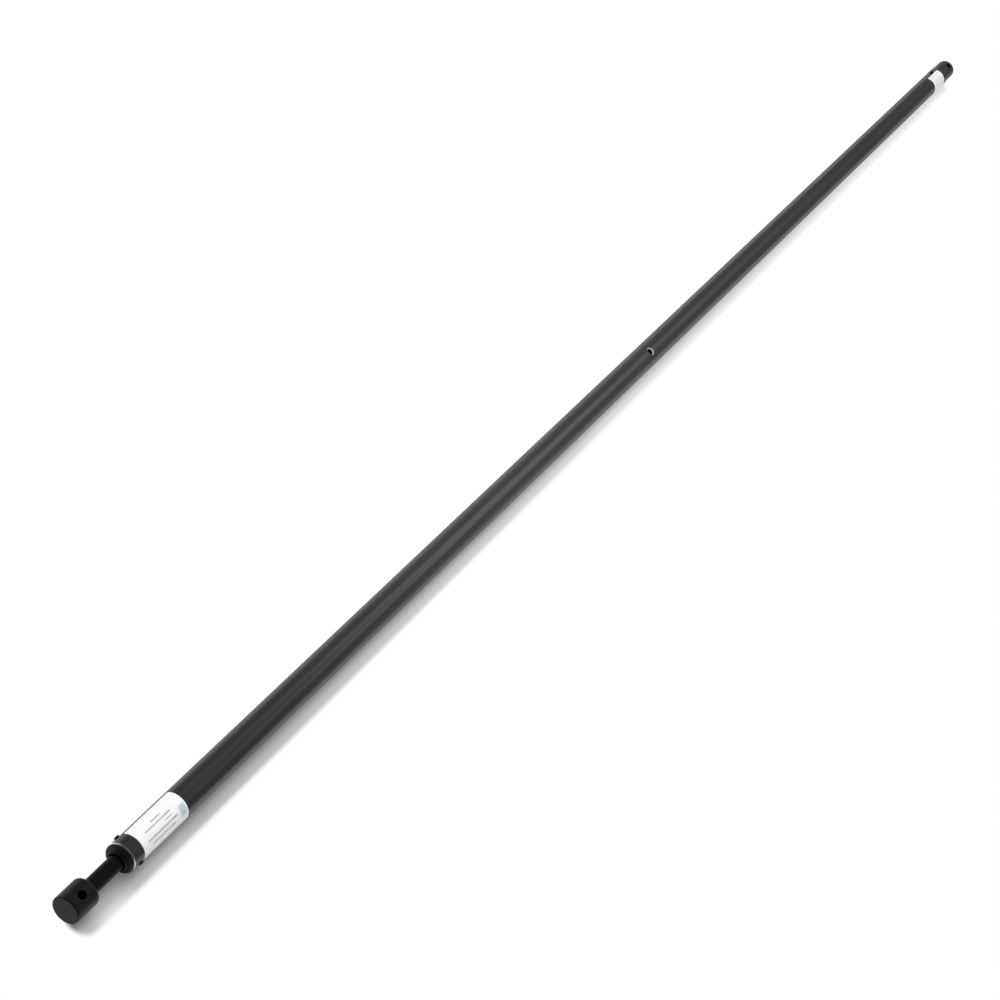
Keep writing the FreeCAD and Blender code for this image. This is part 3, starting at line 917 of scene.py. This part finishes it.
class CROSSBAR_OT_stop(bpy.types.Operator):
    """Washer and shoulder screw that stop the adjuster from coming out"""
    bl_idname = "crossbar.stop"
    bl_label = "Stop"

    def execute(self, context):
        settings = context.scene.crossbar_screws
        finish = steel_finish("plain_stainless", settings.stainless, 0.2, 0.34)
        low, high = WASHER_LOW.x, WASHER_HIGH.x
        rim, bore, edge = WASHER_HIGH.z, 3.7 * MM, 0.25 * MM
        outline = rounded(
            [(low, bore, edge), (low, rim, edge), (high, rim, edge), (high, bore, edge)],
            steps=4)
        washer = turned("stop_ring", outline, True, (finish,), WASHER_SEGMENTS)
        shade(washer)
        dress(washer, "stop", ["stop_washer"])
        height = 3 * MM
        screw = pan_screw(
            "stop_shoulder_screw", finish, STOP_HIGH.x - height, STOP_LOW.x, shank=2.5 * MM,
            head=5 * MM, height=height, recess=4.6 * MM, shoulder=(3.5 * MM, 1.9 * MM))
        dress(screw, "adjuster", ["stop_screw"])
        return {"FINISHED"}


def wrapped_label(name, node, finish, settings, wrap, turn):
    """Thin shell wrapped part of the way round the tube, with rounded corners."""
    low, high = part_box(node)
    inner = TUBE_RADIUS + settings.gap
    outer = inner + settings.thickness
    half = wrap * outer / 2
    corner = settings.corner
    corner_steps = 6
    rows = []
    for k in range(corner_steps + 1):
        angle = math.pi / 2 * k / corner_steps
        rows.append((-half + corner * (1 - math.cos(angle)), corner * (1 - math.sin(angle))))
    step = 0.5 * MM
    rows += [(across, 0) for across in between(-half + corner, half - corner, step)]
    rows += [(-across, inset) for across, inset in reversed(rows[:corner_steps + 1])]
    shape = bmesh.new()
    sheets = []
    for radius in (inner, outer):
        sheet = []
        for across, inset in rows:
            angle = turn + across / outer
            y, z = -radius * math.sin(angle), radius * math.cos(angle)
            sheet.append([shape.verts.new((x, y, z)) for x in (low.x + inset, high.x - inset)])
        sheets.append(sheet)
    for sheet in sheets:
        for row, other in zip(sheet, sheet[1:]):
            shape.faces.new((row[0], row[1], other[1], other[0]))
    under, top = sheets
    for end in (0, 1):
        for k in range(len(rows) - 1):
            shape.faces.new((under[k][end], top[k][end], top[k + 1][end], under[k + 1][end]))
    for k in (0, -1):
        shape.faces.new((under[k][0], top[k][0], top[k][1], under[k][1]))
    bmesh.ops.recalc_face_normals(shape, faces=shape.faces)
    label = finished(name, shape, (finish,))
    shade(label)
    return label


class CROSSBAR_OT_labels(bpy.types.Operator):
    """Two white labels wrapped round the tube near its ends"""
    bl_idname = "crossbar.labels"
    bl_label = "Labels"

    def execute(self, context):
        settings = context.scene.crossbar_labels
        near_strokes = [
            (22, 36, -4.6, 1.8), (10, 46, -0.9, 1.9), (34, 44, 2.8, 1.3), (8, 50, 6.8, 2.0),
            (13, 45, 11.4, 1.7),
        ]
        far_strokes = [(11, 31, 3.6, 0.6), (7, 33, 10, 0.6)]
        for name, node, strokes, field, wrap, turn in (
                ("near_label", "adjuster_end_label", near_strokes, (52, 62.5, 0.5, 14),
                 settings.near_wrap, settings.near_turn),
                ("far_label", "fixed_end_label", far_strokes, None,
                 settings.far_wrap, settings.far_turn)):
            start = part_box(node)[0].x
            finish = label_finish(settings, "printed_" + name, start, strokes, field)
            label = wrapped_label(name, node, finish, settings, wrap, turn)
            dress(label, "bar", [node])
        return {"FINISHED"}


def seen_or_mirrored(tree, directly=True):
    """1 for what is seen in a mirror or through glass, and directly too unless that is off."""
    paths = add(tree, "ShaderNodeLightPath").outputs
    seen = maths(tree, "MAXIMUM", paths["Is Glossy Ray"], paths["Is Transmission Ray"])
    return maths(tree, "MAXIMUM", seen, paths["Is Camera Ray"]) if directly else seen


def floor_finish(settings):
    """Pale matt floor that is plain white, as seen, away from the bar and its shadow.

    Its colour is darkened as painted shade right under the adjustable end. Plain white is
    painted over the cast shadow where it fades out, and over part of it towards the fixed end.
    """
    finish, tree, shader = new_finish("pale_floor")
    x, y, _ = axes(tree, places(tree))
    # Painted shade: the floor's colour is darkened where the bar shuts out the sky, most under the
    # adjustable end and fading out by the middle.
    open_sky = add(tree, "ShaderNodeAmbientOcclusion", {"Distance": 60 * MM}).outputs["AO"]
    occlusion_for_painted_shade = maths(tree, "SUBTRACT", 1.0, maths(tree, "POWER", open_sky, 3.0))
    painted_contact_shade = maths(
        tree, "MULTIPLY", occlusion_for_painted_shade, ramp(tree, x, -1.0, -0.1, settings.painted_contact_shade, 0.0))
    clouds = spread(tree, noise(tree, places(tree), scale=3, detail=2.0), 0.0, 0.01)
    base = mix(
        tree, maths(tree, "ADD", painted_contact_shade, clouds), Vector(settings.floor), Vector((0, 0, 0)))
    tree.links.new(base, shader.inputs["Base Color"])
    shader.inputs["Roughness"].default_value = 0.8
    shader.inputs["Specular IOR Level"].default_value = 0.1

    seen = seen_or_mirrored(tree)
    lift = maths(tree, "MULTIPLY", seen, settings.floor_lift)
    tree.links.new(lift, shader.inputs["Emission Strength"])
    shader.inputs["Emission Color"].default_value = WHITE

    # How far each place is from a line through the middle of the shadow, which ends short of
    # the bar's ends.
    low, high = CAD_BOX[0].x, CAD_BOX[1].x
    beside = maths(tree, "ADD", y, settings.shadow_shift)
    from_middle = maths(tree, "ABSOLUTE", maths(tree, "SUBTRACT", x, (low + high) / 2))
    beyond = maths(tree, "MAXIMUM", maths(
        tree, "SUBTRACT", from_middle, (high - low) / 2 - settings.shadow_trim), 0.0)
    squares = maths(tree, "MULTIPLY", beside, beside), maths(tree, "MULTIPLY", beyond, beyond)
    away = maths(tree, "SQRT", maths(tree, "ADD", *squares))
    narrowed = maths(tree, "MULTIPLY", maths(tree, "SUBTRACT", x, low), settings.shadow_narrows)
    # Painted white: the floor as seen fades to plain white over the cast shadow's outer edge, and
    # towards the fixed end white is painted over part of the shadow.
    shown = ramp(
        tree, maths(tree, "ADD", away, narrowed), settings.shadow_near, settings.shadow_far,
        1.0, 0.0, smooth=True)
    shadow = maths(tree, "MULTIPLY", shown, ramp(tree, x, -0.2, 0.8, 1.0, settings.shadow_left_under_painted_white))
    plain = add(tree, "ShaderNodeEmission", {"Color": WHITE, "Strength": 1.0})
    surface = add(tree, "ShaderNodeMixShader", {
        0: maths(tree, "MULTIPLY", seen, maths(tree, "SUBTRACT", 1.0, shadow)),
        1: shader.outputs[0], 2: plain.outputs[0]})
    tree.links.new(surface.outputs[0], tree.nodes["Material Output"].inputs["Surface"])
    return finish


def mirrored_studio(tree, heading):
    """How pale the studio is, as polished surfaces mirror it, in each direction.

    It is dim behind the adjustable end and paler towards the fixed end. Half way up it has a
    pale wall with a paler band across it and a soft bright panel on it.
    """
    x, y, z = axes(tree, heading)
    ahead = ramp(tree, x, -0.9, 0.5, 0.15, 1.0, smooth=True)
    wall = spread(tree, inside(tree, z, 0.44, 0.82, 0.14), 0.25, 0.4)
    band = spread(tree, inside(tree, x, 0.65, 0.84, 0.095), 0.0, 0.75)
    middle = ramp(tree, maths(tree, "ABSOLUTE", y), 0.15, 0.5, 3.3, 0.0, smooth=True)
    panel = maths(tree, "MULTIPLY", inside(tree, z, 0.58, 0.72, 0.06), middle)
    lit = maths(tree, "ADD", maths(tree, "ADD", wall, band), panel)
    return maths(tree, "MULTIPLY", ahead, lit)


def soft_lamp(name, power, width, place):
    """Rectangular area lamp beside the bar and along it, aimed at its axis.

    Polished surfaces mirror the studio in its place.
    """
    lamp_data = bpy.data.lights.new(name, "AREA")
    lamp_data.shape = "RECTANGLE"
    length_along_bar = 3.0
    lamp_data.size, lamp_data.size_y = length_along_bar, width
    lamp_data.energy = power
    lamp = bpy.data.objects.new(name, lamp_data)
    lamp.location = place
    lamp.rotation_euler = (-math.atan2(place[1], place[2]), 0, 0)
    lamp.visible_glossy = False
    bpy.context.scene.collection.objects.link(lamp)


def studio_camera(settings):
    """Camera at the photograph's viewing angle."""
    camera_data = bpy.data.cameras.new("camera")
    camera_data.lens = settings.lens
    camera_data.sensor_width = 36
    camera_data.clip_start = 0.05
    camera_data.clip_end = 60
    camera = bpy.data.objects.new("camera", camera_data)
    camera.location = settings.camera_place
    camera.rotation_euler = settings.camera_turn
    bpy.context.scene.collection.objects.link(camera)
    bpy.context.scene.camera = camera


def pale_floor(settings):
    """Square floor that the bar lies on."""
    half = 12
    level = CAD_BOX[0].z
    shape = bmesh.new()
    corners = ((-half, -half), (half, -half), (half, half), (-half, half))
    shape.faces.new([shape.verts.new((x, y, level)) for x, y in corners])
    floor = finished("floor", shape, (floor_finish(settings),))


def surroundings(settings):
    """World that lights evenly, is plain white as seen, and is a studio as mirrored."""
    world = bpy.data.worlds.new("surroundings")
    world.use_nodes = True
    bpy.context.scene.world = world
    tree = world.node_tree
    tree.nodes.clear()
    heading = add(tree, "ShaderNodeTexCoord").outputs["Generated"]

    def background(strength):
        return add(tree, "ShaderNodeBackground", {"Color": WHITE, "Strength": strength}).outputs[0]

    light = add(tree, "ShaderNodeMixShader", {
        0: seen_or_mirrored(tree, directly=False), 1: background(settings.surroundings),
        2: background(mirrored_studio(tree, heading))})
    seen = add(tree, "ShaderNodeLightPath").outputs["Is Camera Ray"]
    shown = add(tree, "ShaderNodeMixShader", {
        0: seen, 1: light.outputs[0], 2: background(1.0)})
    add(tree, "ShaderNodeOutputWorld", {"Surface": shown.outputs[0]})


class CROSSBAR_OT_stage(bpy.types.Operator):
    """Pale floor, soft studio light and the camera"""
    bl_idname = "crossbar.stage"
    bl_label = "Stage"

    def execute(self, context):
        settings = context.scene.crossbar_stage
        context.scene.view_settings.view_transform = "Standard"
        studio_camera(settings)
        pale_floor(settings)
        soft_lamp("key", settings.key_power, width=0.45, place=(-0.2, 1.75, 2.0))
        soft_lamp("top", settings.top_power, width=0.9, place=(-0.2, 0.65, 2.4))
        soft_lamp("fill", settings.fill_power, width=0.9, place=(0.1, -1.7, 2.0))
        surroundings(settings)
        return {"FINISHED"}


OPERATORS = (
    CROSSBAR_OT_tube,
    CROSSBAR_OT_bush,
    CROSSBAR_OT_adjuster,
    CROSSBAR_OT_plug,
    CROSSBAR_OT_screws,
    CROSSBAR_OT_stop,
    CROSSBAR_OT_labels,
    CROSSBAR_OT_stage,
)
GROUPS = {
    "crossbar_tube": TubeSettings,
    "crossbar_ends": EndSettings,
    "crossbar_screws": ScrewSettings,
    "crossbar_labels": LabelSettings,
    "crossbar_stage": StageSettings,
}


class CROSSBAR_PT_panel(bpy.types.Panel):
    """Lists the pieces of the bar with their sizes and colours"""
    bl_label = "Tiller Crossbar"
    bl_space_type = "VIEW_3D"
    bl_region_type = "UI"
    bl_category = "Crossbar"

    def draw(self, context):
        for operator in OPERATORS:
            self.layout.operator(operator.bl_idname)
        for name, group in GROUPS.items():
            box = self.layout.box()
            settings = getattr(context.scene, name)
            for prop in group.__annotations__:
                box.prop(settings, prop)


CLASSES = (*GROUPS.values(), *OPERATORS, CROSSBAR_PT_panel)


def register():
    """Register the classes and give every scene the settings."""
    for item in CLASSES:
        bpy.utils.register_class(item)
    for name, group in GROUPS.items():
        setattr(bpy.types.Scene, name, PointerProperty(type=group))


def unregister():
    """Take the settings and the classes away again."""
    for name in GROUPS:
        delattr(bpy.types.Scene, name)
    for item in reversed(CLASSES):
        bpy.utils.unregister_class(item)


def main():
    """Register the classes and build every piece."""
    register()
    bpy.ops.crossbar.tube()
    bpy.ops.crossbar.bush()
    bpy.ops.crossbar.adjuster()
    bpy.ops.crossbar.plug()
    bpy.ops.crossbar.screws()
    bpy.ops.crossbar.stop()
    bpy.ops.crossbar.labels()
    bpy.ops.crossbar.stage()


if __name__ == "__main__":
    main()
